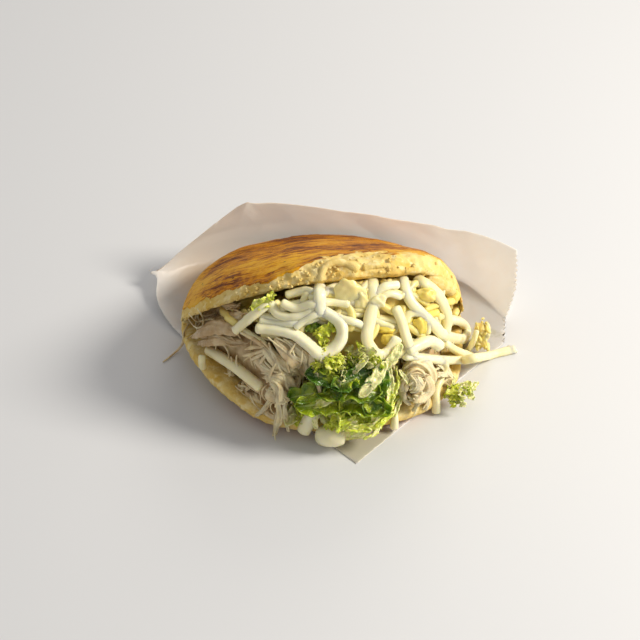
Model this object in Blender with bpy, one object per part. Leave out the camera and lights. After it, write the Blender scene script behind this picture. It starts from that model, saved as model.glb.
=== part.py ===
"""A stuffed arepa: a round corn cake split into a pocket, filled with shredded chicken, lettuce and
thick strands of white cheese, and served in an open paper pocket.

Metres, +Z up. The paper's floor sheet rests on z = 0, and the mouth of the arepa faces -Y.
The bread and the filling heaps are lofts of cross-sections taken at stations along X. Each section is
a loop in the YZ plane, worked out from the sizes below.
"""

import math

import bmesh
import bpy
from mathutils import Matrix, Vector, noise

MM = 0.001
AIR_GAP = 0.3 * MM

# Paper pocket
PAPER_THICKNESS = 0.5 * MM
PAPER_STATIONS = 30
FLOOR_STEPS = 8
WALL_STEPS = 7
FOLD_SHARPNESS = 7.0  # how late the floor sheet curls up before it reaches the fold
WALL_BULGE = 5 * MM
CORNER_CURL = 0.2  # share of the stations over which the raised left corner settles onto the table
# The free upper edge of the back sheet, from the left corner up to its peak, and on to the right corner.
PAPER_LEFT_RIM = [(-82, 45, 8), (-58, 50, 27), (-35, 52, 46)]
PAPER_BACK_RIM = [(-35, 52, 46), (-12, 53, 42), (16, 54, 37), (46, 53, 32), (74, 48, 29), (92, 38, 27)]
PEAK_STATION = 0.3
# The fold where the floor sheet turns up into the back sheet.
PAPER_FOLD = [(-80, 43, 6), (-64, 57, 3.5), (-36, 67, 0.5), (0, 70, 0), (40, 65, 0), (70, 46, 0), (87, 19, 0)]
# The floor sheet's own free edge: it curls down from the left corner, then runs straight to the front corner.
PAPER_LEFT_EDGE = [(-79, 38, 6), (-77, 24, 3.5), (-64, 3, 0.3), (-38, -25, 0), (-12, -53, 0), (15, -82, 0)]
PAPER_RIGHT_EDGE = [(15, -82, 0), (85, 1, 0)]
FRONT_STATION = 0.5

# Bread
BREAD_RADIUS = 65 * MM
ROUNDNESS_LEFT = 1.85  # the outline is a superellipse: 2 is a circle, more is fuller
ROUNDNESS_RIGHT = 2.5
BREAD_STATIONS = 14  # on each side of the middle
BREAD_END_ANGLE = math.radians(85)
BREAD_BOTTOM = PAPER_THICKNESS + AIR_GAP
BASE_THICKNESS = 9.5 * MM
FLAP_THICKNESS = 10 * MM
RIM_LIFT = 4.5 * MM  # how far the round rim curves up off the table
LEFT_LIFT = 8 * MM  # the base bends up at its left end to meet the flap
HINGE_WALL = 12 * MM  # uncut bread behind the pocket
FLAP_SHARE = 0.87  # the torn flap is shorter than the cake is deep
FLAP_TILT = math.radians(31)
FLAP_TWIST = math.radians(3.5)  # the flap opens wider to the right, evenly
FLAP_CURL = math.radians(6)  # and more towards its two ends
TWIST_SPAN = 60 * MM
FLAP_CAMBER = 1.8 * MM

# Filling
FILL_CLEARANCE = 1.2 * MM
FOOT_HEIGHT = PAPER_THICKNESS + 0.8 * MM
HEAP_ROUGHNESS = 3.4 * MM
STATION_STEP = 3.2 * MM
END_ROUNDING = 8 * MM  # where a heap's end is drawn in
DROP_ROUNDING = 6 * MM  # past that, where its foot comes down over the rim
OVER_RIM = 2.2 * MM
LAYER_GAP = 0.6 * MM
SIDE_GAP = 0.5 * MM
LOWER_STEPS = 6
FRONT_STEPS = 5
SPILL_PEAK = 5 * MM
SPILL_HELD_BACK = 17 * MM
SPILL_CENTRE = 8 * MM
SPILL_WIDTH = 50 * MM
# Where each heap starts and ends along X
FILL_LEFT = -57 * MM
CHEESE_LEFT = -44 * MM
CHICKEN_SPLIT = -9 * MM
LETTUCE_SPLIT = 33 * MM
FILL_RIGHT = 58 * MM
CHEESE_RIGHT = 61 * MM


def clear_scene():
    for item in list(bpy.data.objects):
        bpy.data.objects.remove(item, do_unlink=True)


def material(name, color, roughness):
    made = bpy.data.materials.new(name)
    made.use_nodes = True
    shader = made.node_tree.nodes["Principled BSDF"]
    shader.inputs["Base Color"].default_value = (*color, 1.0)
    shader.inputs["Roughness"].default_value = roughness
    shader.inputs["Metallic"].default_value = 0.0
    return made


def add_object(name, bm, finish, smooth_angle=50):
    mesh = bpy.data.meshes.new(name)
    bm.to_mesh(mesh)
    bm.free()
    mesh.shade_smooth()
    mesh.set_sharp_from_angle(angle=math.radians(smooth_angle))
    mesh.materials.append(finish)
    made = bpy.data.objects.new(name, mesh)
    bpy.context.scene.collection.objects.link(made)
    return made


def ease(t):
    t = min(1.0, max(0.0, t))
    return t * t * (3 - 2 * t)


def mix(a, b, t):
    return a + (b - a) * t


def spline_point(p0, p1, p2, p3, t):
    """A point on the Catmull-Rom stretch from p1 to p2."""
    return 0.5 * (
        2 * p1
        + (p2 - p0) * t
        + (2 * p0 - 5 * p1 + 4 * p2 - p3) * t * t
        + (3 * p1 - p0 - 3 * p2 + p3) * t * t * t
    )


def smooth_loop(points, steps):
    """A closed smooth loop through the points, with steps stretches between each pair."""
    count = len(points)
    return [
        spline_point(points[i - 1], points[i], points[(i + 1) % count], points[(i + 2) % count], j / steps)
        for i in range(count)
        for j in range(steps)
    ]


def curve_at(points, t):
    """A point at share t of an open smooth curve through points given in millimetres."""
    place = t * (len(points) - 1)
    i = min(int(place), len(points) - 2)
    near = [Vector(points[min(max(k, 0), len(points) - 1)]) * MM for k in (i - 1, i, i + 1, i + 2)]
    return spline_point(*near, place - i)


def bumps(x, seed):
    """Smooth unevenness between about -1 and 1 along X."""
    return noise.noise(Vector((x / (7 * MM), seed, 0.4))) + 0.6 * noise.noise(Vector((x / (2.6 * MM), seed, 3.1)))


def loft(name, rings, finish):
    """One closed solid through equal rings of points, with a flat face at each end."""
    bm = bmesh.new()
    loops = [[bm.verts.new(point) for point in ring] for ring in rings]
    for near, far in zip(loops, loops[1:]):
        for i in range(len(near)):
            bm.faces.new((near[i - 1], near[i], far[i], far[i - 1]))
    bm.faces.new(loops[0])
    bm.faces.new(loops[-1])
    bmesh.ops.recalc_face_normals(bm, faces=bm.faces)
    return add_object(name, bm, finish)


class Section:
    """The bread's cross-section at station x: where its base, hinge and flap are."""

    def __init__(self, x):
        self.x = x
        roundness = mix(ROUNDNESS_LEFT, ROUNDNESS_RIGHT, ease((x + BREAD_RADIUS) / (2 * BREAD_RADIUS)))
        self.share = (1 - (abs(x) / BREAD_RADIUS) ** roundness) ** (1 / roundness)
        self.chord = BREAD_RADIUS * self.share
        self.fullness = self.share**0.6
        left = ease((-x - 18 * MM) / (44 * MM))
        self.bottom = BREAD_BOTTOM + RIM_LIFT * (1 - self.fullness) + LEFT_LIFT * left
        self.base = BASE_THICKNESS * self.fullness
        self.floor = self.bottom + self.base
        turn = x / TWIST_SPAN
        self.tilt = FLAP_TILT + FLAP_TWIST * turn + FLAP_CURL * turn**3
        self.hinge_y = self.chord - HINGE_WALL * self.fullness
        self.hinge_z = self.floor + 1.0 * MM * self.fullness
        feathered = mix(0.62, 1.0, ease((x + 40 * MM) / (45 * MM)))
        self.flap = FLAP_THICKNESS * self.fullness
        self.lip = self.flap * feathered
        self.reach = FLAP_SHARE * 2 * self.chord + 1.3 * MM * self.share * bumps(x, 5.0)

    def flap_point(self, along, height):
        """A point of the flap: a share of the way along it from the hinge, and a height over its inner face."""
        run = along * self.reach
        up = height + FLAP_CAMBER * self.share * math.sin(math.pi * min(max(along, 0.0), 1.0))
        y = self.hinge_y - run * math.cos(self.tilt) + up * math.sin(self.tilt)
        z = self.hinge_z + run * math.sin(self.tilt) + up * math.cos(self.tilt)
        return Vector((self.x, y, z))

    def at(self, y, z):
        return Vector((self.x, y, z))


def bread_ring(x):
    s = Section(x)
    rim = s.share
    torn = 0.6 * MM * s.fullness * bumps(x, 9.0)
    corners = [
        s.at(s.chord - 8 * MM * rim, s.bottom + 0.4 * MM * rim),
        s.at(0.3 * s.chord, s.bottom),
        s.at(-0.45 * s.chord, s.bottom),
        s.at(-s.chord + 6 * MM * rim, s.bottom + 0.6 * MM * rim),
        s.at(-s.chord, s.bottom + 0.5 * s.base),
        s.at(-s.chord + 4 * MM * rim, s.floor - 0.7 * MM * rim + torn),
        s.at(-0.5 * s.chord, s.floor),
        s.at(0.2 * s.chord, s.floor),
        s.at(mix(0.2 * s.chord, s.hinge_y, 0.75), s.floor),
        s.at(s.hinge_y, s.hinge_z),
        s.flap_point(0.12, 0.0),
        s.flap_point(0.5, 0.0),
        s.flap_point(0.9, 0.0),
        s.flap_point(1.0, 1.4 * MM * s.fullness + torn),
        s.flap_point(1.0 - 0.01, s.lip * 0.75 - torn),
        s.flap_point(0.95, s.lip),
        s.flap_point(0.8, s.flap * 1.04),
        s.flap_point(0.5, s.flap * 1.08),
        s.flap_point(0.2, s.flap * 0.98),
        s.at(s.chord - 3.2 * MM * rim, s.hinge_z + 6.5 * MM * s.fullness),
        s.at(s.chord, s.bottom + 0.75 * s.base),
    ]
    return smooth_loop(corners, 2)


def add_bread(finish):
    stations = [
        BREAD_RADIUS * math.sin(BREAD_END_ANGLE * i / BREAD_STATIONS)
        for i in range(-BREAD_STATIONS, BREAD_STATIONS + 1)
    ]
    return loft("arepa_bread", [bread_ring(x) for x in stations], finish)


class Face:
    """The filling's front face at a station, from its foot past the base's rim up to the flap's torn lip.

    All heaps share it. Towards its own ends a heap's foot keeps on top of the base: drop goes from 0 there to 1.
    """

    def __init__(self, section, drop):
        self.section = section
        self.resting = section.floor + FILL_CLEARANCE
        spill = spill_at(section.x)
        self.foot = self.foot_at(spill, 1.0)
        self.over = mix(min(spill, OVER_RIM), spill, drop)
        self.drop = drop * ease((self.over - OVER_RIM) / OVER_RIM)
        self.own_foot = self.foot_at(self.over, drop)
        self.top = section.flap_point(1.03, -FILL_CLEARANCE - 1.0 * MM)

    def foot_at(self, spill, drop):
        lowered = drop * ease((spill - OVER_RIM) / OVER_RIM)
        return self.section.at(-self.section.chord - spill, mix(self.resting, FOOT_HEIGHT, lowered))

    def at(self, level):
        """A point on the face: level 0 at its foot, 1 under the flap's torn lip."""
        s = self.section
        belly = s.at(min(self.foot.y, self.top.y) - 3 * MM * s.share, mix(self.foot.z, self.top.z, 0.42))
        curve = mix(mix(self.foot, belly, level), mix(belly, self.top, level), level)
        rough = HEAP_ROUGHNESS * s.share * noise.noise(Vector((s.x / (8 * MM), curve.z / (7 * MM), 2.0)))
        rough *= min(1.0, 3 * level)
        return curve + Vector((0, -rough, 0.4 * rough * level))

    def layer(self, level, along):
        """A point on the sheet between two layers: along 0 deep in the pocket, 1 at the front face."""
        s = self.section
        roof = s.flap_point(0.2, -FILL_CLEARANCE).z
        start = s.at(s.hinge_y - 0.2 * s.reach, mix(self.resting, roof, level))
        return mix(start, self.at(level), along)

    def underside(self):
        """From deep in the pocket along the base, and over its rim where the heap spills past it."""
        s = self.section
        deep = s.hinge_y - 0.2 * s.reach
        near = -s.chord + 1.0 * MM if self.over > 0 else self.own_foot.y + 1.5 * MM
        flat = [s.at(mix(deep, near, i / (LOWER_STEPS - 3)), self.resting) for i in range(LOWER_STEPS - 2)]
        if self.over <= 0:
            return flat + [s.at(self.own_foot.y + step, self.resting) for step in (1.0 * MM, 0.5 * MM)]
        past_rim = -s.chord - min(self.over, OVER_RIM)
        shoulder = s.at(past_rim + 0.4 * MM, mix(self.resting, s.bottom + 0.75 * s.base, self.drop))
        return flat + [shoulder, s.at(past_rim, self.own_foot.z - 0.1 * MM)]


def heap_ring(face, low, high, scale):
    """One section of a heap that fills the mouth between the levels low and high.

    Level 0 follows the base, over its rim and down to the foot. Level 1 follows the flap's inner face.
    """
    shares = [i / FRONT_STEPS for i in range(FRONT_STEPS + 1)]
    front = [face.at(mix(low, high, share)) for share in shares]
    if low <= 0:
        under = face.underside()
        shift = face.own_foot - face.foot
        front = [point + shift * (1 - share) for point, share in zip(front, shares)]
    else:
        under = [face.layer(low, i / LOWER_STEPS) for i in range(LOWER_STEPS)]
    if high >= 1:
        steps = range(LOWER_STEPS + 1)
        over = [face.section.flap_point(mix(0.97, 0.2, i / LOWER_STEPS), -FILL_CLEARANCE) for i in steps]
    else:
        over = [face.layer(high, 1 - i / LOWER_STEPS) for i in range(1, LOWER_STEPS + 1)]
    ring = under + front + over
    centre = sum(ring, Vector()) / len(ring)
    return [mix(centre, point, scale) for point in ring]


def heap_stations(left, right):
    """The two ends, and between them the stations that all heaps share."""
    first = math.ceil(left / STATION_STEP + 0.3)
    last = math.floor(right / STATION_STEP - 0.3)
    return [left] + [i * STATION_STEP for i in range(first, last + 1)] + [right]


def add_heap(name, left, right, low, high, finish):
    """A heap from station left to station right. low and high are functions of x."""
    rings = []
    for x in heap_stations(left, right):
        inside = min(x - left, right - x)
        scale = mix(0.4, 1.0, math.sqrt(min(1.0, max(0.0, inside / END_ROUNDING))))
        drop = ease((inside - END_ROUNDING) / DROP_ROUNDING)
        rings.append(heap_ring(Face(Section(x), drop), low(x), high(x), scale))
    return loft(name, rings, finish)


def spill_at(x):
    """How far the filling's foot stands past the rim: it overflows in the middle and keeps back at the sides."""
    overflow = math.exp(-(((x - SPILL_CENTRE) / SPILL_WIDTH) ** 4))
    return mix(-SPILL_HELD_BACK, SPILL_PEAK, overflow)


def cheese_level(x):
    """Where the cheese begins, as a share of the mouth's height: thin on the left, deep on the right."""
    return mix(0.84, 0.56, ease((x + 46 * MM) / (60 * MM)))


def below_cheese(x):
    return cheese_level(x) - LAYER_GAP / (30 * MM) if x > CHEESE_LEFT else 0.8


def on_base(x):
    return 0.0


def under_flap(x):
    return 1.0


def add_filling(chicken, lettuce, cheese):
    add_heap("chicken_left", FILL_LEFT, CHICKEN_SPLIT - SIDE_GAP, on_base, below_cheese, chicken)
    add_heap("lettuce_heap", CHICKEN_SPLIT, LETTUCE_SPLIT - SIDE_GAP, on_base, below_cheese, lettuce)
    add_heap("chicken_right", LETTUCE_SPLIT, FILL_RIGHT, on_base, below_cheese, chicken)
    add_heap("cheese_heap", CHEESE_LEFT, CHEESE_RIGHT, cheese_level, under_flap, cheese)


def cornered_curve(first, second, turn, t):
    """A point on two smooth curves that meet in a corner at the share turn."""
    if t < turn:
        return curve_at(first, t / turn)
    return curve_at(second, (t - turn) / (1 - turn))


def paper_row(t):
    """The paper at station t, from its front edge over the floor, round the fold and up to its rim."""
    edge = cornered_curve(PAPER_LEFT_EDGE, PAPER_RIGHT_EDGE, FRONT_STATION, t)
    fold = curve_at(PAPER_FOLD, t)
    fold.z = max(0.0, fold.z)
    rim = cornered_curve(PAPER_LEFT_RIM, PAPER_BACK_RIM, PEAK_STATION, t)
    row = []
    for i in range(FLOOR_STEPS):
        share = i / FLOOR_STEPS
        point = mix(edge, fold, share)
        flat = edge.z * (1 - share) ** 2 + fold.z * share**FOLD_SHARPNESS
        point.z = max(0.0, mix(point.z, flat, ease(t / CORNER_CURL)))
        row.append(point)
    outward = Vector((fold.x, fold.y, 0)).normalized() * WALL_BULGE
    middle = mix(fold, rim, 0.45) + outward
    for i in range(WALL_STEPS + 1):
        share = i / WALL_STEPS
        row.append(mix(mix(fold, middle, share), mix(middle, rim, share), share))
    return row


def add_paper(finish):
    bm = bmesh.new()
    rows = [[bm.verts.new(p) for p in paper_row(i / PAPER_STATIONS)] for i in range(PAPER_STATIONS + 1)]
    for near, far in zip(rows, rows[1:]):
        for i in range(len(near) - 1):
            bm.faces.new((near[i], far[i], far[i + 1], near[i + 1]))
    made = add_object("paper_pocket", bm, finish, 70)
    solid = made.modifiers.new("sheet", "SOLIDIFY")
    solid.thickness = PAPER_THICKNESS
    solid.offset = 1.0
    return made


def add_strand(name, points, width, finish):
    """A loose piece of cheese: a soft bar along a smooth path given in millimetres."""
    curve = bpy.data.curves.new(name, "CURVE")
    curve.dimensions = "3D"
    curve.bevel_depth = width / 2
    curve.bevel_resolution = 2
    curve.use_fill_caps = True
    path = curve.splines.new("POLY")
    steps = 3 * (len(points) - 1)
    path.points.add(steps)
    for i in range(steps + 1):
        path.points[i].co = (*curve_at(points, i / steps), 1.0)
    curve.materials.append(finish)
    made = bpy.data.objects.new(name, curve)
    bpy.context.scene.collection.objects.link(made)
    return made


def add_lump(name, centre, size, turn, finish):
    """A small rounded lump at centre, in millimetres, turned about Z."""
    bm = bmesh.new()
    bmesh.ops.create_cube(bm, size=1.0)
    bmesh.ops.subdivide_edges(bm, edges=bm.edges, cuts=2, use_grid_fill=True)
    for vert in bm.verts:
        vert.co = mix(vert.co, vert.co.normalized() * 0.5, 0.7)
        vert.co *= 1 + 0.16 * noise.noise(vert.co * 3 + Vector(centre))
    shape = Matrix.Translation(Vector(centre) * MM) @ Matrix.Rotation(turn, 4, "Z")
    shape = shape @ Matrix.Diagonal((*(s * MM for s in size), 1.0))
    bmesh.ops.transform(bm, matrix=shape, verts=bm.verts)
    return add_object(name, bm, finish)


def add_loose_pieces(cheese, lettuce):
    resting = (PAPER_THICKNESS + AIR_GAP) / MM
    add_strand("cheese_strand_left", [(-56, -30, 21), (-45, -43, 21), (-34, -56, 20)], 5 * MM, cheese)
    add_strand("cheese_strand_right", [(67, -29, 14), (79, -23, 9), (91, -12, resting + 2.6)], 4.6 * MM, cheese)
    add_lump("cheese_lump_front", (4, -76, resting + 3.6), (11, 9, 7), 0.3, cheese)
    add_lump("cheese_spill_right", (73, -4, resting + 8.5), (11, 19, 17), 0.1, cheese)
    add_lump("lettuce_sprig_right", (64, -42, resting + 5.2), (19, 11, 10), 0.6, lettuce)


def build():
    clear_scene()
    corn = material("corn_bread", (0.72, 0.5, 0.2), 0.7)
    meat = material("chicken", (0.75, 0.63, 0.45), 0.55)
    greens = material("lettuce", (0.3, 0.45, 0.08), 0.45)
    curd = material("white_cheese", (0.85, 0.8, 0.6), 0.4)
    sheet = material("waxed_paper", (0.82, 0.76, 0.68), 0.4)
    add_bread(corn)
    add_filling(meat, greens, curd)
    add_paper(sheet)
    add_loose_pieces(curd, greens)


build()
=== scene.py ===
"""The looks of a stuffed arepa: griddled corn cake, shredded chicken, lettuce, white cheese and waxed paper.

Metres, +Z up, in the CAD model's frame. The cake's mouth faces -Y.
Pieces in the mouth are laid along lines of sight: a place there is given in millimetres, across and up, on a
board that stands through the origin and squarely faces the camera.
"""

import math
import random

import bmesh
import bpy
from mathutils import Euler, Matrix, Vector, noise
from mathutils.bvhtree import BVHTree


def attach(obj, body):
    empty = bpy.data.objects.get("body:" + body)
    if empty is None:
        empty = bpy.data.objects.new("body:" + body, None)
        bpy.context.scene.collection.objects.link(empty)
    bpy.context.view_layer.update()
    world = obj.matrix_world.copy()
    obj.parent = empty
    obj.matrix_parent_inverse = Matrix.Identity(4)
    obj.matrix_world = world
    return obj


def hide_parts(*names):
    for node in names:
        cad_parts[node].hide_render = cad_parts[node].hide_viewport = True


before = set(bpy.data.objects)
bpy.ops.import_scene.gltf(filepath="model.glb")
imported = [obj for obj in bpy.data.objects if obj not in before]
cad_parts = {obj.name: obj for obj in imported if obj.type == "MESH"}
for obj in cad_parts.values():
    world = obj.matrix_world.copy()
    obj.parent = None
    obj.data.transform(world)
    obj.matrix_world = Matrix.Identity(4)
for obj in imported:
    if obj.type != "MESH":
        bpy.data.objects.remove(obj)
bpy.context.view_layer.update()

MM = 0.001
TABLE_GAP = 0.02 * MM  # between the table and whatever lies on it
chance = random.Random(11)

# Camera
TILT = math.radians(39)
DISTANCE = 1.05
LENS = 127.2
SENSOR = 36
TO_CAMERA = Vector((0, -math.cos(TILT), math.sin(TILT)))
BOARD_UP = Vector((0, math.sin(TILT), math.cos(TILT)))
AIM = Vector((-0.9 * MM, 0, 0)) + 11.6 * MM * BOARD_UP
CAMERA_PLACE = AIM + DISTANCE * TO_CAMERA

# Bread
FLAP_TILT = math.radians(31)
FLAP_UP = Vector((0, math.sin(FLAP_TILT), math.cos(FLAP_TILT)))
FLAP_OUT = Vector((0, -math.cos(FLAP_TILT), math.sin(FLAP_TILT)))
BREAD_GRAIN = 1.0 * MM  # size of the bread's faces
OUTLINE_STEP = 2 * MM
CRUMBS = 130
CRUMBS_BELOW_CRUST = 9  # how far down the torn face they lie, in millimetres

# Strands
STRAND_MAP = "strand"
STRAND = 4.9 * MM  # thickness of the cheese
PATH_STEP = 1.4  # between the points of a path, in millimetres
PATH_EASING = 10  # rounds of smoothing where a path is draped over the filling
CHEESE_FILLERS = 60
CHEESE_CREEPERS = 40
FIBRES_PER_SHRED = 5

# Paper
PAPER_FACES = 2.0 * MM  # longest edge of the sheet's faces
PAPER_THICKNESS = 0.14 * MM
CUTTER_TOOTH = 1.3 * MM

# Colours, linear
CRUST_GOLD = (0.77, 0.405, 0.020)
CRUST_AMBER = (0.60, 0.235, 0.005)
CRUST_BROWN = (0.34, 0.105, 0.006)
CRUST_BURNT = (0.13, 0.035, 0.006)
CRUST_SPECK = (0.07, 0.028, 0.012)
CRUMB_CREAM = (0.80, 0.61, 0.23)
CRUMB_CORN = (0.70, 0.45, 0.085)
CRUMB_PALE = (0.87, 0.71, 0.34)
CRUMB_PORE = (0.55, 0.34, 0.09)
CRUMB_SCORCH = (0.66, 0.33, 0.05)
CHEESE_WHITE = (0.90, 0.85, 0.585)
CHEESE_BUTTER = (0.82, 0.62, 0.10)
MEAT_WHITE = (0.84, 0.73, 0.45)
MEAT_CREAM = (0.79, 0.63, 0.33)
MEAT_TAN = (0.62, 0.46, 0.25)
MEAT_BROWN = (0.43, 0.27, 0.11)
MEAT_FIBRE = (0.62, 0.45, 0.22)
LEAF_DARK = (0.06, 0.14, 0.008)
LEAF_GREEN = (0.32, 0.39, 0.010)
LEAF_LIME = (0.66, 0.72, 0.06)
LEAF_PALE = (0.84, 0.82, 0.38)
LEAF_VEIN = (0.62, 0.72, 0.28)
LEAF_RIB = (0.80, 0.84, 0.42)
PAPER_WHITE = (1.0, 0.94, 0.82)
PAPER_CREAM = (1.0, 0.89, 0.74)
PAPER_FIBRE = (1.0, 0.96, 0.88)
PAPER_GREASE = (0.86, 0.76, 0.48)
# painted reflected light, bounced off the crust onto the paper's back wall
PAPER_BOUNCE_LIGHT = (1.0, 0.77, 0.49)
FLOOR_GREY = (0.66, 0.66, 0.66)


# ---------------------------------------------------------------- small helpers


def pick(*items):
    """Only these objects selected, the first one active."""
    bpy.ops.object.select_all(action="DESELECT")
    for item in items:
        item.select_set(True)
    bpy.context.view_layer.objects.active = items[0]


def apply_modifiers(item):
    pick(item)
    for modifier in list(item.modifiers):
        bpy.ops.object.modifier_apply(modifier=modifier.name)


def mend(item, doubles=1e-6):
    """Merges doubles and turns all faces outwards."""
    pick(item)
    bpy.ops.object.mode_set(mode="EDIT")
    bpy.ops.mesh.select_all(action="SELECT")
    bpy.ops.mesh.remove_doubles(threshold=doubles)
    bpy.ops.mesh.normals_make_consistent(inside=False)
    bpy.ops.object.mode_set(mode="OBJECT")


def copy_of(node, name):
    """A free copy of a CAD solid, its loose triangles merged."""
    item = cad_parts[node].copy()
    item.data = item.data.copy()
    item.name = name
    item.parent = None
    for key in list(item.keys()):
        del item[key]
    bpy.context.scene.collection.objects.link(item)
    item.data.materials.clear()
    mend(item)
    return item


def join(name, items):
    pick(*items)
    bpy.ops.object.join()
    items[0].name = name
    return items[0]


def ease(low, high, value):
    t = min(1.0, max(0.0, (value - low) / (high - low)))
    return t * t * (3 - 2 * t)


def mix(a, b, t):
    return a + (b - a) * t


def rough(point, size, seed=0.0):
    """Smooth noise, about -1 to 1, with bumps of the given size."""
    return noise.noise(point / size + Vector((seed, 0.37 * seed, -seed)))


def reshape(item, move):
    """Moves every vertex to move(place, normal)."""
    places = [move(vert.co, vert.normal) for vert in item.data.vertices]
    for vert, place in zip(item.data.vertices, places):
        vert.co = place
    item.data.update()


def add_values(item, name, values):
    """Stores one number for each vertex, which the materials read."""
    layer = item.data.attributes.new(name, "FLOAT", "POINT")
    layer.data.foreach_set("value", values)


def ready(item, material, node):
    """Hands a finished piece over to the frame, flattened where it would sink into the table."""
    for vert in item.data.vertices:
        vert.co.z = max(vert.co.z, TABLE_GAP)
    item.data.materials.clear()
    item.data.materials.append(material)
    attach(item, "root")
    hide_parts(node)


def lump_of(name, radius, detail, uneven, seed=0.0):
    """A rough ball about the origin."""
    bpy.ops.object.select_all(action="DESELECT")
    bpy.ops.mesh.primitive_ico_sphere_add(subdivisions=detail, radius=radius)
    item = bpy.context.object
    item.name = name
    reshape(item, lambda p, n: p * (1 + uneven * rough(p, 0.9 * radius, seed)
                                    + 0.4 * uneven * rough(p, 0.4 * radius, seed + 3)))
    item.data.shade_smooth()
    return item


# ---------------------------------------------------------------- material helpers


NOISE_INPUTS = ("Vector", "Scale", "Detail", "Roughness")
SPAN_INPUTS = ("From Min", "From Max", "To Min", "To Max")


def make_mottling():
    """Soft noise turned into a mask: the uneven patches that every material here has."""
    group = bpy.data.node_groups.new("mottling", "ShaderNodeTree")
    group.interface.new_socket("Vector", in_out="INPUT", socket_type="NodeSocketVector")
    for name in NOISE_INPUTS[1:] + SPAN_INPUTS:
        group.interface.new_socket(name, in_out="INPUT", socket_type="NodeSocketFloat")
    group.interface.new_socket("Mask", in_out="OUTPUT", socket_type="NodeSocketFloat")
    start = group.nodes.new("NodeGroupInput")
    soft = group.nodes.new("ShaderNodeTexNoise")
    span = group.nodes.new("ShaderNodeMapRange")
    span.interpolation_type = "SMOOTHSTEP"
    end = group.nodes.new("NodeGroupOutput")
    for name in NOISE_INPUTS:
        group.links.new(start.outputs[name], soft.inputs[name])
    for name in SPAN_INPUTS:
        group.links.new(start.outputs[name], span.inputs[name])
    group.links.new(soft.outputs["Fac"], span.inputs["Value"])
    group.links.new(span.outputs["Result"], end.inputs["Mask"])
    return group


MOTTLING = make_mottling()


class Recipe:
    """A material's nodes, added one by one and joined by name."""

    def __init__(self, name):
        self.material = bpy.data.materials.new(name)
        self.material.use_nodes = True
        self.tree = self.material.node_tree
        self.shader = self.tree.nodes["Principled BSDF"]
        self.place = self.add("ShaderNodeTexCoord").outputs["Object"]

    def add(self, kind, **settings):
        node = self.tree.nodes.new(kind)
        for key, value in settings.items():
            setattr(node, key, value)
        return node

    def feed(self, socket, value):
        if isinstance(value, bpy.types.NodeSocket):
            self.tree.links.new(value, socket)
        elif isinstance(value, tuple) and len(value) == 3 and socket.type == "RGBA":
            socket.default_value = (*value, 1.0)
        else:
            socket.default_value = value

    def value(self, name):
        return self.add("ShaderNodeAttribute", attribute_name=name).outputs["Fac"]

    def vector(self, name):
        return self.add("ShaderNodeAttribute", attribute_name=name).outputs["Vector"]

    def strand_places(self):
        """Places along and around each strand."""
        return self.add("ShaderNodeUVMap", uv_map=STRAND_MAP).outputs["UV"]

    def stretched(self, scale, source):
        node = self.add("ShaderNodeMapping")
        self.feed(node.inputs["Vector"], source)
        node.inputs["Scale"].default_value = scale
        return node.outputs["Vector"]

    def cloud(self, size, detail=3.0, roughness=0.55, source=None, warp=0.0):
        """Soft noise with patches of the given size in metres."""
        node = self.add("ShaderNodeTexNoise")
        self.feed(node.inputs["Vector"], source or self.place)
        node.inputs["Scale"].default_value = 1 / size
        node.inputs["Detail"].default_value = detail
        node.inputs["Roughness"].default_value = roughness
        node.inputs["Distortion"].default_value = warp
        return node.outputs["Fac"]

    def patches(self, size, low, high, to_low=0.0, to_high=1.0, detail=3.0, roughness=0.55):
        """A mask that goes from to_low to to_high where the noise goes from low to high."""
        node = self.add("ShaderNodeGroup", node_tree=MOTTLING)
        self.feed(node.inputs["Vector"], self.place)
        values = (1 / size, detail, roughness, low, high, to_low, to_high)
        for name, value in zip(NOISE_INPUTS[1:] + SPAN_INPUTS, values):
            node.inputs[name].default_value = value
        return node.outputs["Mask"]

    def cells(self, size, feature="F1"):
        node = self.add("ShaderNodeTexVoronoi", feature=feature)
        self.feed(node.inputs["Vector"], self.place)
        node.inputs["Scale"].default_value = 1 / size
        return node.outputs["Distance"]

    def span(self, value, low, high, to_low=0.0, to_high=1.0):
        node = self.add("ShaderNodeMapRange", interpolation_type="SMOOTHSTEP")
        self.feed(node.inputs["Value"], value)
        for name, number in zip(SPAN_INPUTS, (low, high, to_low, to_high)):
            node.inputs[name].default_value = number
        return node.outputs["Result"]

    def sum(self, a, b, operation="ADD"):
        node = self.add("ShaderNodeMath", operation=operation)
        self.feed(node.inputs[0], a)
        self.feed(node.inputs[1], b)
        return node.outputs["Value"]

    def times(self, a, b):
        return self.sum(a, b, "MULTIPLY")

    def blend(self, share, first, second):
        node = self.add("ShaderNodeMix", data_type="RGBA")
        self.feed(node.inputs["Factor"], share)
        self.feed(node.inputs["A"], first)
        self.feed(node.inputs["B"], second)
        return node.outputs["Result"]

    def bump(self, height, distance, strength):
        node = self.add("ShaderNodeBump")
        node.inputs["Strength"].default_value = strength
        node.inputs["Distance"].default_value = distance
        self.feed(node.inputs["Height"], height)
        return node.outputs["Normal"]

    def soft_inside(self, weight, depth, tint):
        """Light that scatters a little below the surface."""
        self.shader.inputs["Subsurface Weight"].default_value = weight
        self.shader.inputs["Subsurface Scale"].default_value = depth
        self.shader.inputs["Subsurface Radius"].default_value = tint

    def finish(self, color, roughness, normal=None):
        self.feed(self.shader.inputs["Base Color"], color)
        self.feed(self.shader.inputs["Roughness"], roughness)
        if normal:
            self.feed(self.shader.inputs["Normal"], normal)
        return self.material


# ---------------------------------------------------------------- paths and threads


def shell(*nodes):
    """A search tree over CAD solids where they lie."""
    bm = bmesh.new()
    for node in nodes:
        bm.from_mesh(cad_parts[node].data)
    tree = BVHTree.FromBMesh(bm)
    bm.free()
    return tree


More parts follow.
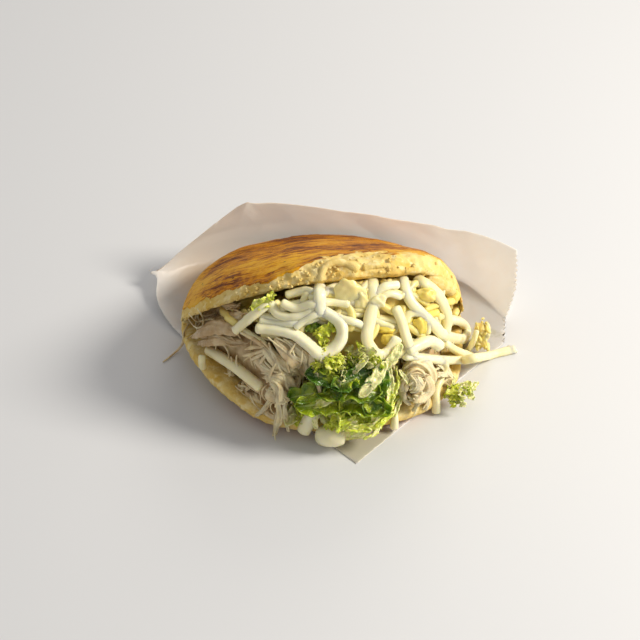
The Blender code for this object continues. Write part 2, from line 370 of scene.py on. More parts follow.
HEAPS = ("chicken_left", "lettuce_heap", "chicken_right", "cheese_heap")
mouth = shell(*HEAPS)
whole = shell(*HEAPS, "arepa_bread", "paper_pocket")
everything = shell(*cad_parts)


def curve_through(points, step):
    """Evenly spaced points of a smooth curve through the given ones."""
    fine = []
    for i in range(len(points) - 1):
        p0, p1, p2, p3 = (points[min(max(k, 0), len(points) - 1)] for k in (i - 1, i, i + 1, i + 2))
        count = max(2, math.ceil((p2 - p1).length / (0.3 * step)))
        for j in range(count):
            t = j / count
            bend = (2 * p0 - 5 * p1 + 4 * p2 - p3) * t**2
            swing = (3 * p1 - p0 - 3 * p2 + p3) * t**3
            fine.append(0.5 * (2 * p1 + (p2 - p0) * t + bend + swing))
    fine.append(points[-1])
    return spaced(fine, step)


def spaced(points, step):
    """The same path with its points a step apart."""
    lengths = [0.0]
    for a, b in zip(points, points[1:]):
        lengths.append(lengths[-1] + (b - a).length)
    count = max(3, round(lengths[-1] / step))
    made, i = [], 0
    for k in range(count + 1):
        want = lengths[-1] * k / count
        while i < len(lengths) - 2 and lengths[i + 1] < want:
            i += 1
        run = lengths[i + 1] - lengths[i]
        made.append(mix(points[i], points[i + 1], (want - lengths[i]) / run if run > 0 else 0.0))
    return made


def on_board(place):
    """Where the line of sight to a place crosses the board, in millimetres across and up."""
    ray = place - CAMERA_PLACE
    crossing = CAMERA_PLACE - ray * (CAMERA_PLACE.dot(TO_CAMERA) / ray.dot(TO_CAMERA))
    return crossing.x / MM, crossing.dot(BOARD_UP) / MM


def line_height(points, across):
    """The height of a line on the board, given by its corners from left to right."""
    for (a0, u0), (a1, u1) in zip(points, points[1:]):
        if across <= a1:
            return mix(u0, u1, max(0.0, (across - a0) / (a1 - a0)))
    return points[-1][1]


def sight(across, up):
    board = across * MM * Vector((1, 0, 0)) + up * MM * BOARD_UP
    return (board - CAMERA_PLACE).normalized()


def seen(across, up, tree=None):
    """The place and normal where a line of sight meets the solids, or else the floor."""
    ray = sight(across, up)
    for solids in (tree or whole, everything):
        place, normal, _, _ = solids.ray_cast(CAMERA_PLACE, ray)
        if place is not None:
            return place, normal
    return CAMERA_PLACE - ray * (CAMERA_PLACE.z / ray.z), Vector((0, 0, 1))


def draped(points, lifts, tree=None):
    """A path over the filling through places on the board. lifts is how far it stands out, in millimetres."""
    flat = curve_through([Vector((a, u, 0)) for a, u in points], PATH_STEP)
    rays = [sight(p.x, p.y) for p in flat]
    depths = [(seen(p.x, p.y, tree)[0] - CAMERA_PLACE).length for p in flat]
    first = list(depths)
    for _ in range(PATH_EASING):
        eased = [
            (depths[max(i - 1, 0)] + 2 * depths[i] + depths[min(i + 1, len(depths) - 1)]) / 4
            for i in range(len(depths))
        ]
        depths = [min(e, f + 0.4 * MM) for e, f in zip(eased, first)]
    made = []
    for i, (ray, depth) in enumerate(zip(rays, depths)):
        share = i / (len(rays) - 1) * (len(lifts) - 1)
        low = min(int(share), len(lifts) - 2)
        rise = mix(lifts[low], lifts[low + 1], share - low)
        made.append(CAMERA_PLACE + ray * (depth - rise * MM))
    return made


def walk(tree, start, heading, length, curl, lift):
    """A path that creeps over a surface from a place, turning a little at every step."""
    step = PATH_STEP * MM
    place, normal, _, _ = tree.find_nearest(start)
    made = [place + normal * lift]
    turn = chance.gauss(0, curl)
    for _ in range(max(3, int(length / step))):
        heading = (heading - normal * heading.dot(normal)).normalized()
        turn = 0.8 * turn + chance.gauss(0, 0.45 * curl)
        heading = Matrix.Rotation(turn, 3, normal) @ heading
        place, normal, _, _ = tree.find_nearest(place + heading * step)
        made.append(place + normal * lift)
    for _ in range(3):
        made = [made[0]] + [(a + 2 * b + c) / 4 for a, b, c in zip(made, made[1:], made[2:])] + [made[-1]]
    return made


outlines = []


def outline(name, sides, shape):
    """A closed outline that thickens a path; shape gives its point at each angle."""
    curve = bpy.data.curves.new(name, "CURVE")
    curve.dimensions = "3D"
    ring = curve.splines.new("POLY")
    ring.points.add(sides - 1)
    for i in range(sides):
        angle = 2 * math.pi * i / sides
        x, y = shape(angle)
        ring.points[i].co = (x, y, 0, 1)
    ring.use_cyclic_u = True
    item = bpy.data.objects.new(name, curve)
    bpy.context.scene.collection.objects.link(item)
    outlines.append(item)
    return item


def bar_shape(angle, flat=0.82, power=3.0):
    """A flattened square with round corners."""
    c, s = math.cos(angle), math.sin(angle)
    reach = (abs(c) ** power + abs(s) ** power) ** (-1 / power)
    return reach * c, flat * reach * s


def fibre_shape(angle, seed, flat=0.5):
    """A flattened round with the ridges of torn fibres."""
    reach = 1 + 0.12 * math.sin(5 * angle + seed) + 0.10 * math.sin(8 * angle + 2 * seed)
    reach += 0.09 * math.sin(13 * angle + 3 * seed)
    return reach * math.cos(angle), flat * reach * math.sin(angle)


def round_shape(angle):
    return math.cos(angle), math.sin(angle)


class Bundle:
    """Strands that share an outline: drawn as one curve, then made one mesh that keeps each strand's tone."""

    def __init__(self, name, profile):
        curve = bpy.data.curves.new(name, "CURVE")
        curve.dimensions = "3D"
        curve.bevel_mode = "OBJECT"
        curve.bevel_object = profile
        curve.use_fill_caps = True
        curve.twist_mode = "MINIMUM"
        self.curve = curve
        self.item = bpy.data.objects.new(name, curve)
        self.tones = []

    def add(self, path, radius, tone, twist=0.0, blunt=0.5, taper=(1.0, 1.0), wobble=0.06):
        """One strand, rounded off at its ends. taper lists its thickness from end to end."""
        path = spaced(path, max(0.35 * radius, 1.1 * MM))
        run = max((path[1] - path[0]).length, 1e-9)
        shares = [min(1.0, share * blunt * radius / run) for share in (0.0, 0.12, 0.45)]
        starts = [mix(path[0], path[1], share) for share in shares]
        ends = [mix(path[-1], path[-2], share) for share in reversed(shares)]
        points = starts + path[1:-1] + ends
        last = len(points) - 1
        caps = {0: 0.3, 1: 0.62, 2: 0.9, last: 0.3, last - 1: 0.62, last - 2: 0.9}
        line = self.curve.splines.new("POLY")
        line.points.add(last)
        phase = chance.uniform(0, 100)
        for i, point in enumerate(points):
            place = i / last * (len(taper) - 1)
            low = min(int(place), len(taper) - 2)
            size = radius * mix(taper[low], taper[low + 1], place - low) * caps.get(i, 1.0)
            size *= 1 + wobble * noise.noise(Vector((phase, 0.35 * i, 0)))
            line.points[i].co = (*point, 1)
            line.points[i].radius = size
            line.points[i].tilt = twist * i / last
        self.tones.append(tone)

    def mesh(self):
        bpy.context.scene.collection.objects.link(self.item)
        pick(self.item)
        bpy.ops.object.convert(target="MESH")
        made = bpy.context.object
        if made.data.uv_layers:
            made.data.uv_layers[0].name = STRAND_MAP
        mend(made, 2e-6)
        made.data.shade_smooth()
        add_values(made, "tone", self.tone_of_each(made.data))
        return made

    def tone_of_each(self, mesh):
        """A tone for each vertex. The mesh holds the strands one after another, the last one first."""
        bm = bmesh.new()
        bm.from_mesh(mesh)
        tones = [None] * len(bm.verts)
        parts = reversed(self.tones)
        for first in bm.verts:
            if tones[first.index] is not None:
                continue
            tone = next(parts)
            tones[first.index] = tone
            waiting = [first]
            while waiting:
                for edge in waiting.pop().link_edges:
                    for vert in edge.verts:
                        if tones[vert.index] is None:
                            tones[vert.index] = tone
                            waiting.append(vert)
        bm.free()
        return tones


# ---------------------------------------------------------------- bread


# Where the crust stops above the torn face, as places on the board from left to right
CRUST_EDGE = [
    (-60, 17), (-56, 20.2), (-48, 23.6), (-40, 26.4), (-33, 28.2), (-26, 29.1), (-19, 31.0), (-13, 33.6),
    (-8, 37.0), (-4, 38.6), (2, 40.4), (8.4, 41.6), (15, 42.6), (22.6, 42.9), (32, 42.8), (40.5, 42.5),
    (48, 41.4), (54.8, 39.8), (59, 38.2), (62.8, 36.3), (66, 33),
]
# Dough torn out of the face: path on the board, stand-out, radius, taper, wobble
DOUGH_CURLS = [
    ([(17, 34.5), (12, 37.4), (6, 38.4), (1.5, 36.2), (0, 32.8), (-1, 29.5)], (-1.3, -0.3, -0.6), 1.7,
     (1.5, 1.1, 1.0, 0.9, 0.6), 0.35),
    ([(19, 35.5), (25, 37.0), (32, 36.6)], (-1.3, -0.7, -1.3), 1.5, (1.2, 1.0, 0.6), 0.35),
    ([(38, 34.4), (46, 34.8), (54, 32.6)], (-1.3, -0.7, -1.3), 1.5, (0.8, 1.1, 0.6), 0.4),
    ([(36, 31.5), (44, 31.6), (52, 29.6), (58, 26.8), (62.5, 23)], (-1.2, 0.2, -0.4), 2.5,
     (0.6, 1.1, 1.1, 0.7), 0.45),
]


def outline_reach(mesh, direction):
    """How far the shape reaches in a direction at each step along X."""
    reach = {}
    for vert in mesh.vertices:
        step = round(vert.co.x / OUTLINE_STEP)
        reach[step] = max(reach.get(step, -1.0), vert.co.dot(direction))
    return reach


def reach_at(reach, x):
    place = x / OUTLINE_STEP
    low = math.floor(place)
    near = reach.get(low, reach.get(low + 1))
    far = reach.get(low + 1, near)
    return mix(near, far, place - low) if near is not None else 0.0


def crust_share(p, n, torn_off, facing, upper):
    """1 on the griddled crust, 0 on bare crumb."""
    outer = n.dot(FLAP_UP) + 0.16 * rough(p, 4 * MM) + 0.12 * rough(p, 1.8 * MM, 4)
    top = ease(0.05, 0.42, outer) * upper
    top = max(top, facing * ease(6, 0.5, -torn_off) * ease(-0.2, 0.2, -torn_off))
    top *= 1 - facing * ease(-0.5, 0.6, torn_off)
    under = ease(-0.55, -0.85, n.z) * (1 - ease(5 * MM, 8 * MM, p.z))
    back = ease(0.2, 0.6, n.y) * (1 - upper)
    return max(top, under, back)


def toast_share(p, across, from_lip, torn_off, facing):
    """How brown the griddle made the crust: most on the crest and along the broken edge."""
    left_rim = ease(-46 * MM, -64 * MM, p.x)
    crest = ease(20 * MM, 48 * MM, from_lip)
    edge = ease(9, 1, -torn_off) * facing * ease(-4, 14, 40 - across)
    return (0.38 + 0.62 * crest + 0.40 * edge) * (1 - 0.75 * left_rim)


def bread_lift(p, skin, on_lip):
    """How far the surface stands out, in millimetres: gently uneven crust, ragged crumb."""
    even = 0.35 * rough(p, 13 * MM, 1) + 0.16 * rough(p, 5 * MM, 2)
    torn = 0.8 * rough(p, 4.2 * MM, 3) + 0.55 * rough(p, 2.1 * MM, 5) + 0.3 * rough(p, 1.3 * MM, 6)
    lumps = abs(rough(p, 5.5 * MM, 7))
    return mix(even, torn + 0.5 * lumps, (1 - skin) * mix(0.55, 1.0, on_lip))


def tear_depth(torn_off):
    """How deep the crumb lies below the crust's broken edge, which stands up a little, in millimetres."""
    raised = 0.5 * ease(-2.5, -0.2, torn_off) * ease(0.4, 0.0, torn_off)
    return 0.9 * ease(0.2, 1.6, torn_off) - raised


def lip_pull(p, on_lip):
    """How far the flap's ragged lip reaches out or draws back, in millimetres."""
    ragged = 1.3 * rough(Vector((p.x, 0, 0)), 9 * MM, 8) + 1.1 * rough(p, 3.6 * MM, 9)
    return on_lip * ragged * mix(1.25, 0.7, ease(-20 * MM, 30 * MM, p.x))


def make_bread():
    bread = copy_of("arepa_bread", "bread")
    even = bread.modifiers.new("even faces", "REMESH")
    even.mode = "VOXEL"
    even.voxel_size = BREAD_GRAIN
    even.use_smooth_shade = True
    soft = bread.modifiers.new("soften", "SMOOTH")
    soft.factor = 0.5
    soft.iterations = 6
    apply_modifiers(bread)
    mesh = bread.data
    reach = outline_reach(mesh, FLAP_OUT)
    crust, toast, scorch, grain, moved = [], [], [], [], []
    for vert in mesh.vertices:
        p, n = vert.co, vert.normal
        across, up = on_board(p)
        torn_off = line_height(CRUST_EDGE, across) - up
        torn_off += 1.3 * rough(p, 5 * MM, 11) + 0.7 * rough(p, 2 * MM, 12)
        facing = ease(-0.2, 0.2, n.dot(TO_CAMERA)) * ease(16 * MM, 24 * MM, p.z)
        upper = ease(14 * MM, 22 * MM, p.z)
        from_lip = reach_at(reach, p.x) - p.dot(FLAP_OUT)
        on_lip = upper * ease(0.15, 0.65, n.dot(FLAP_OUT)) * ease(0.75, 0.3, abs(n.x))
        skin = crust_share(p, n, torn_off, facing, upper)
        lift = bread_lift(p, skin, on_lip) - facing * tear_depth(torn_off)
        moved.append(p + n * lift * MM + FLAP_OUT * lip_pull(p, on_lip) * MM)
        crust.append(skin)
        toast.append(toast_share(p, across, from_lip, torn_off, facing))
        scorch.append(facing * ease(28, 40, across) * ease(35, 27, up + 0.10 * (across - 52)))
        grain.extend((p.x, from_lip, p.dot(FLAP_UP)))
    for vert, place in zip(mesh.vertices, moved):
        vert.co = place
    add_values(bread, "crust", crust)
    add_values(bread, "toast", toast)
    add_values(bread, "scorch", scorch)
    layer = mesh.attributes.new("grain", "FLOAT_VECTOR", "POINT")
    layer.data.foreach_set("vector", grain)
    mesh.update()
    return join("bread", [bread, make_curls(), *make_crumbs()])


def make_curls():
    """The tongues of dough that curled out of the torn face."""
    curls = Bundle("curls", outline("dough", 12, round_shape))
    for path, lifts, radius, taper, wobble in DOUGH_CURLS:
        curls.add(draped(path, lifts, whole), radius * MM, 0.0, 0.6, taper=taper, wobble=wobble)
    return curls.mesh()


def make_crumbs():
    """Loose grains of dough on the torn face, thickest on the left."""
    crumbs = []
    tree = shell("arepa_bread")
    master = lump_of("crumb", 1.0, 2, 0.4)
    for _ in range(CRUMBS):
        across = chance.triangular(-56, 62, -30)
        up = line_height(CRUST_EDGE, across) - 0.6 - CRUMBS_BELOW_CRUST * chance.random() ** 1.4
        place, normal, _, _ = tree.ray_cast(CAMERA_PLACE, sight(across, up))
        if place is None or place.z < 20 * MM or normal.dot(TO_CAMERA) < 0:
            continue
        crumb = bpy.data.objects.new("crumb", master.data.copy())
        bpy.context.scene.collection.objects.link(crumb)
        size = chance.uniform(0.3, 0.75) * MM
        turn = Euler([chance.uniform(0, 6.3) for _ in range(3)]).to_matrix().to_4x4()
        stretch = Matrix.Diagonal([size * chance.uniform(0.7, 1.4) for _ in range(3)] + [1])
        crumb.data.transform(Matrix.Translation(place - normal * 0.5 * MM) @ turn @ stretch)
        crumbs.append(crumb)
    bpy.data.objects.remove(master, do_unlink=True)
    return crumbs


def bread_material():
    r = Recipe("corn_bread")
    toast = r.value("toast")
    grain = r.vector("grain")
    blotches = r.cloud(0.2, 5.0, 0.66, r.stretched((9, 30, 20), grain), 0.9)
    streaks = r.cloud(0.2, 5.0, 0.62, r.stretched((14, 95, 40), grain), 1.1)
    brown = r.sum(r.times(r.span(blotches, 0.46, 0.62), 0.60), r.times(r.span(streaks, 0.50, 0.64), 0.55))
    brown = r.sum(brown, r.patches(0.024, 0.35, 0.65, -0.45, 0.20, 3.0, 0.5))
    brown = r.sum(brown, r.patches(0.0022, 0.3, 0.7, -0.18, 0.18, 4.0, 0.65))
    brown = r.sum(brown, r.span(toast, 0.0, 1.0, -0.30, 0.55))
    brown = r.times(brown, r.span(toast, 0.0, 0.35, 0.25, 1.0))
    crust = r.blend(r.span(brown, -0.10, 0.50), CRUST_GOLD, CRUST_AMBER)
    crust = r.blend(r.span(brown, 0.48, 0.85), crust, CRUST_BROWN)
    crust = r.blend(r.span(brown, 0.85, 1.2), crust, CRUST_BURNT)
    crust = r.blend(r.times(r.span(r.cells(0.0085), 0.10, 0.055), 0.85), crust, CRUST_SPECK)
    crumb = r.blend(r.patches(0.010, 0.38, 0.72, detail=4.0, roughness=0.6), CRUMB_CREAM, CRUMB_CORN)
    crumb = r.blend(r.patches(0.0035, 0.5, 0.72, detail=2.0), crumb, CRUMB_PALE)
    pores = r.times(r.span(r.cells(0.0028), 0.22, 0.12), r.patches(0.006, 0.45, 0.62))
    crumb = r.blend(r.times(pores, 0.5), crumb, CRUMB_PORE)
    scorch = r.times(r.value("scorch"), r.patches(0.004, 0.42, 0.66, detail=4.0, roughness=0.65))
    crumb = r.blend(r.times(scorch, 0.75), crumb, CRUMB_SCORCH)
    edge = r.sum(r.value("crust"), r.patches(0.0035, 0.25, 0.75, -0.30, 0.30, 4.0, 0.65))
    is_crust = r.span(edge, 0.42, 0.60)
    crumb_height = r.sum(r.times(r.cloud(0.0016, 5.0, 0.65), 0.7), r.times(r.cloud(0.005, 3.0), 0.6))
    relief = r.add("ShaderNodeMix", data_type="FLOAT")
    r.feed(relief.inputs["Factor"], is_crust)
    r.feed(relief.inputs["A"], r.sum(crumb_height, r.times(pores, -0.5)))
    r.feed(relief.inputs["B"], r.sum(r.times(streaks, 0.5), r.times(r.cloud(0.0013, 4.0, 0.6), 0.35)))
    roughness = r.sum(r.span(is_crust, 0, 1, 0.72, 0.50), r.times(r.cloud(0.01, 3.0), 0.12))
    r.soft_inside(0.08, 2 * MM, (1.0, 0.6, 0.25))
    r.shader.inputs["Specular IOR Level"].default_value = 0.1
    normal = r.bump(relief.outputs["Result"], 0.8 * MM, 0.75)
    return r.finish(r.blend(is_crust, crumb, crust), roughness, normal)


# ---------------------------------------------------------------- cheese

CHEESE_PATHS = [
    # path on the board, thickness as a share of a strand's, stand-out at start, middle and end
    ([(-31, 8), (-21, 7), (-13, 5), (-6, 0), (-1, -4), (5, -2), (9, 3), (9, 9), (5, 13), (0, 16)],
     1.08, (1, 3.5, 2)),
    ([(0, 14), (-1, 19), (-1, 25), (-1, 31)], 1.05, (1.5, 2.0, -2)),
    ([(-13, 8), (-6, 13), (0, 15), (10, 12), (17, 10), (21, 7)], 0.82, (1.0, 1.5, 0.5)),
    ([(-41, 6), (-33, 13), (-25, 19)], 0.9, (2.5, 2.5, 0)),
    ([(-24, 20), (-21, 15), (-15, 13), (-7, 15), (-2, 20)], 0.85, (0, 1.0, -1)),
    ([(-19, 20), (-12, 17), (-5, 19), (4, 20), (13, 19)], 0.85, (0.5, 1.0, 0)),
    ([(-17, 23), (-8, 25), (-1, 23)], 0.8, (-1.5, -0.5, -1.5)),
    ([(-29, 12), (-19, 10), (-9, 11), (-1, 13)], 0.85, (-0.5, 0, -0.5)),
    ([(23, 31), (24, 22), (22, 11), (21, 2), (25, -4), (30, -4), (33, 0), (35, 4)], 1.05, (-2, 2.5, 1.0)),
    ([(37, 34), (39, 25), (42, 19), (47, 14), (52, 9), (56, 5), (62, 3), (66, 3), (67, 7), (64, 11),
      (58, 12)], 0.98, (-2, 2.5, 0.5)),
    ([(44, 31), (52, 25), (56, 19), (58, 12), (57, 5)], 1.05, (-1.5, 1.5, 0)),
    ([(34, 18), (37, 11), (39, 4), (41, -1), (44, -6), (49, -7)], 0.9, (0.5, 2.0, 0.5)),
    ([(39, -3), (44, 0), (50, 2), (55, -1)], 1.2, (1.0, 2.0, 0.5)),
    ([(24, 23), (29, 27), (36, 28)], 0.75, (-0.5, 0.5, -1)),
    ([(26, 21), (31, 24), (37, 22)], 0.72, (0, 0.5, -0.5)),
    ([(39, 10), (40, 14), (45, 15), (49, 11), (49, 5)], 0.75, (0.5, 1.5, 0.5)),
    ([(38, -5), (47, -6), (57, -7), (66, -7)], 0.95, (1.0, 1.5, 1.5)),
    ([(57, 1), (63, -3), (70, -5)], 0.8, (1.0, 1.0, 0.5)),
    ([(66, -5), (70, 1), (72, 7)], 0.5, (1.0, 1.5, 1.5)),
    ([(54, -6), (57, -9), (55, -15), (53, -21), (53, -27), (53, -32)], 0.8, (2.5, 2.5, 1.5)),
    ([(-38, 8), (-32, 4), (-26, 0)], 0.6, (0.5, 1.0, 0.5)),
]


CURDS = [
    # place on the board, radius, stretch along X, Y and Z, stand-out, tone
    (12.0, 21.5, 6.4, (0.95, 0.55, 1.35), -2.8, 0.7),
    (18.5, 20.0, 5.2, (0.8, 0.6, 1.35), -1.6, 0.6),
    (26.0, 20.0, 3.6, (1.0, 0.7, 1.0), 0.0, 0.25),
    (45.5, 9.0, 3.2, (1.0, 0.7, 1.5), 0.0, 1.35),
    (30.0, 7.0, 2.6, (1.6, 0.7, 0.8), -0.5, 1.35),
    (31.0, 2.5, 2.4, (1.5, 0.7, 1.2), -0.5, 1.3),
    (48.0, 23.0, 4.0, (1.2, 0.7, 1.0), -1.5, 1.0),
    (61.0, 22.0, 3.0, (1.0, 0.8, 1.2), -1.5, 1.1),
]


def cheese_material():
    r = Recipe("white_cheese")
    butter = r.sum(r.times(r.value("tone"), 0.75), r.patches(0.012, 0.3, 0.7, 0.0, 0.16))
    color = r.blend(butter, CHEESE_WHITE, CHEESE_BUTTER)
    height = r.sum(r.times(r.cloud(0.0022, 4.0), 0.7), r.times(r.cloud(0.0008, 2.0), 0.2))
    roughness = r.patches(0.004, 0.35, 0.65, 0.28, 0.48, 2.0)
    r.soft_inside(0.45, 2.6 * MM, (1.0, 0.82, 0.30))
    return r.finish(color, roughness, r.bump(height, 0.35 * MM, 0.5))


def make_core(node, name, shrink):
    """The body of a heap, drawn in under the loose pieces."""
    core = copy_of(node, name)
    finer = core.modifiers.new("finer", "SUBSURF")
    finer.levels = finer.render_levels = 2
    inset = core.modifiers.new("drawn in", "DISPLACE")
    inset.mid_level = 0.0
    inset.strength = -shrink
    apply_modifiers(core)
    reshape(core, lambda p, n: p + n * MM * (1.1 * rough(p, 4 * MM, 2) + 0.5 * rough(p, 2 * MM, 3)))
    core.data.shade_smooth()
    # tone 0.9 gives the cheese and chicken cores their darker colour: painted shade where the gaps between
    # the loose pieces look into the heap; on the lettuce it is the pale tone
    add_values(core, "tone", [0.9] * len(core.data.vertices))
    return core


def random_on(node, keep, count):
    """Places spread over a CAD solid's surface where keep(place, normal) holds."""
    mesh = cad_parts[node].data
    mesh.calc_loop_triangles()
    triangles = [t for t in mesh.loop_triangles if keep(t.center, t.normal)]
    areas = [t.area for t in triangles]
    made = []
    for t in chance.choices(triangles, weights=areas, k=count):
        a, b = chance.random(), chance.random()
        if a + b > 1:
            a, b = 1 - a, 1 - b
        p0, p1, p2 = (mesh.vertices[i].co for i in t.vertices)
        made.append((p0 + (p1 - p0) * a + (p2 - p0) * b, t.normal.copy()))
    return made


def open_side(place, normal):
    return normal.y < 0.35 or abs(normal.x) > 0.55


def random_heading():
    return Vector((chance.gauss(0, 1), chance.gauss(0, 0.7), chance.gauss(0, 1))).normalized()


def make_cheese(profile):
    """Strands laid one by one, short ones that fill the gaps, others that creep over the heap, and curds."""
    strands = Bundle("cheese_strands", profile)
    for path, thickness, lifts in CHEESE_PATHS:
        line = draped(path, [lift - 0.4 for lift in lifts], mouth)
        tone = chance.uniform(-0.05, 0.2) + 0.15 * ease(20, 50, path[0][0])
        twist = chance.uniform(-0.8, 0.8)
        taper = (0.95, 1.0, 1.03, 1.0, 0.93)
        strands.add(line, thickness * STRAND / 2, tone, twist, taper=taper, wobble=0.11)
    for _ in range(CHEESE_FILLERS):
        across, up = chance.uniform(-22, 60), chance.uniform(4, 33)
        if up > line_height(CRUST_EDGE, across) - 5:
            continue
        angle, reach = chance.gauss(0.1, 0.8), chance.uniform(6, 13)
        bend = chance.uniform(-4, 4)
        c, s = math.cos(angle), math.sin(angle)
        path = [(across - reach * c, up - reach * s), (across - bend * s, up + bend * c),
                (across + reach * c, up + reach * s)]
        if not all(mouth.ray_cast(CAMERA_PLACE, sight(*place))[0] for place in path):
            continue
        depth = chance.uniform(-2.4, -0.8)
        radius = STRAND / 2 * chance.uniform(0.5, 0.85)
        tone = mix(0.35, 0.9, ease(-10, 40, across)) + chance.uniform(-0.3, 0.3)
        line = draped(path, (depth - 1.2, depth, depth - 1.2), mouth)
        strands.add(line, radius, tone, chance.uniform(-1, 1))
    tree = shell("cheese_heap")
    for place, _ in random_on("cheese_heap", open_side, CHEESE_CREEPERS):
        radius = STRAND / 2 * chance.uniform(0.7, 1.0)
        lift = chance.uniform(-3.2, -1.2) * MM
        line = walk(tree, place, random_heading(), chance.uniform(14, 34) * MM, 0.22, lift)
        strands.add(line, radius, chance.uniform(0.3, 0.95), chance.uniform(-1, 1))
    pieces = [strands.mesh(), make_core("cheese_heap", "cheese_core", 4.6 * MM)]
    for across, up, radius, squash, depth, tone in CURDS:
        pieces.append(lump(across, up, radius, squash, across, mouth, depth, 4, tone))
    return join("cheese_strands", pieces)


def make_left_strand(profile):
    """The loose strand on the base's rim, and a short bit beside it."""
    strand = Bundle("cheese_strand_left_loose", profile)
    path = draped([(-53, -2), (-42, -9), (-33, -16), (-28, -20)], (0, 1, 1), everything)
    bit = draped([(-55.6, -4.6), (-55.8, -8), (-55.0, -11.2)], (0.5, 1.0), everything)
    strand.add(path, 2.5 * MM, 0.2, 0.5)
    strand.add(bit, 1.7 * MM, 0.25, 0.3)
    return strand.mesh()


def make_right_strand(profile):
    """The loose strand that reaches over the paper to a knob."""
    strand = Bundle("cheese_strand_right_loose", profile)
    path = draped([(66, -7), (77, -5), (86, -3), (90, -2)], (0.5, 1, 1), everything)
    strand.add(path, 2.2 * MM, 0.15, 0.5, taper=(1, 1, 0.9, 1.05))
    knob = lump(87.8, -2.6, 2.6, (1.0, 1.0, 0.9), 5, everything, 0.5, 3, 0.05)
    return join("cheese_strand_right_loose", [strand.mesh(), knob])


# ---------------------------------------------------------------- chicken

# Fat shreds: path on the board, radius in millimetres, tone (0 pale, 1 brown), stand-out
MEAT_LEFT = [
    ([(-59, 4), (-52, 8), (-45, 8), (-39, 5)], 3.6, 0.75, (0, 1.5)),
    ([(-57, 1), (-49, 3), (-42, 2), (-36, 1)], 2.8, 0.6, (0, 1.0)),
    ([(-55, 13), (-47, 17), (-39, 18)], 3.6, 0.95, (-4, -4)),
    ([(-51, 11), (-44, 12), (-36, 14)], 3.0, 0.9, (-3, -3)),
    ([(-22, 3), (-16, -3), (-9, -10), (-6, -14)], 3.4, 0.35, (1, 2.5)),
    ([(-27, 0), (-22, -6), (-16, -11), (-10, -14)], 3.2, 0.3, (1, 2.0)),
    ([(-30, -4), (-26, -10), (-20, -15)], 2.8, 0.4, (0, 1.5)),
    ([(-16, 2), (-11, -2), (-7, -7), (-8, -14)], 2.0, 0.15, (2, 3)),
    ([(-19, -1), (-14, -7), (-11, -15), (-13, -21)], 1.7, 0.1, (2.5, 3)),
    ([(-27, -15), (-21, -14), (-15, -18), (-14, -25)], 3.0, 0.25, (2, 2.5)),
    ([(-25, -20), (-20, -24), (-15, -25)], 3.6, 0.2, (2, 2)),
    ([(-23, -17), (-20, -21), (-21, -27)], 2.2, 0.1, (3.5, 3.5)),
    ([(-21, -26), (-20, -33), (-21, -38), (-22, -42)], 1.7, 0.1, (2.5, 1.0)),
    ([(-18, -27), (-17, -34), (-16, -40)], 1.3, 0.15, (2.5, 1.0)),
    ([(-24, -25), (-27, -30), (-31, -33)], 1.3, 0.15, (2, 1.0)),
    ([(-5, -4), (-4, -10), (-2, -16), (-1, -22)], 1.6, 0.1, (3, 3)),
]
MEAT_RIGHT = [
    ([(37, -14), (41, -9), (47, -9), (51, -14), (50, -21)], 2.6, 0.35, (1.5, 3.0)),
    ([(39, -22), (38, -16), (43, -12), (48, -14)], 3.3, 0.45, (1.5, 3.0)),
    ([(41, -25), (46, -24), (49, -19), (46, -14)], 3.2, 0.4, (1.5, 3.0)),
    ([(43, -22), (44, -18), (42, -14)], 2.8, 0.25, (3.5, 4.5)),
    ([(37, -20), (38, -25), (41, -28)], 1.5, 0.3, (2, 1.5)),
    ([(45, -24), (44, -28), (42, -31)], 1.4, 0.3, (2, 1.5)),
    ([(49, -22), (49, -27), (47, -30)], 1.3, 0.35, (1.5, 1.0)),
    ([(34, -12), (35, -18), (34, -25)], 1.5, 0.2, (1.5, 1.5)),
    ([(54, -14), (58, -13), (61, -16)], 2.1, 0.4, (0.5, 1.5)),
    ([(55, -18), (59, -17), (61, -21)], 2.0, 0.35, (0.5, 1.5)),
    ([(53, -9), (58, -11), (60, -14)], 1.6, 0.4, (0.5, 1.0)),
]
# Thin fibres: path on the board, radius in millimetres, stand-out
WISPS_LEFT = [
    ([(-62, 15), (-58, 11), (-51, 12), (-45, 9)], 0.55, (1, 2)),
    ([(-62, 12), (-58, 8), (-52, 9), (-47, 12)], 0.5, (1, 2)),
    ([(-58, 17), (-55, 12), (-56, 7)], 0.45, (0, 2)),
    ([(-61, 11), (-64, 6), (-65, 0), (-70, -5), (-74, -8)], 0.6, (1, 1)),
    ([(-26, -1), (-31, -1), (-36, -2)], 0.9, (2, 3)),
    ([(-26, -2), (-31, -4), (-37, -5)], 1.0, (2, 3.5)),
    ([(-25, -3), (-29, -5), (-33, -7)], 0.9, (2, 3)),
    ([(-24, -3), (-27, -6), (-29, -9)], 0.8, (2, 3)),
    ([(-38, 6), (-32, 3), (-27, -1)], 1.0, (2, 3)),
    ([(-21, -8), (-24, -14), (-23, -20)], 0.8, (3, 4)),
    ([(-12, 1), (-16, -6), (-15, -13)], 0.7, (4, 5)),
    ([(-9, -2), (-10, -9), (-14, -14)], 0.7, (4, 5)),
]
WISPS_RIGHT = [
    ([(38, -11), (43, -8), (49, -11), (51, -17)], 0.7, (4, 5)),
    ([(39, -14), (44, -11), (48, -14)], 0.7, (5, 6)),
    ([(40, -19), (44, -16), (47, -19)], 0.7, (5.5, 6)),
    ([(41, -22), (46, -21), (48, -17)], 0.65, (5, 6)),
    ([(52, -12), (56, -10), (60, -13)], 0.7, (2, 3)),
    ([(33, -8), (34, -15), (36, -21)], 0.7, (2, 3)),
]


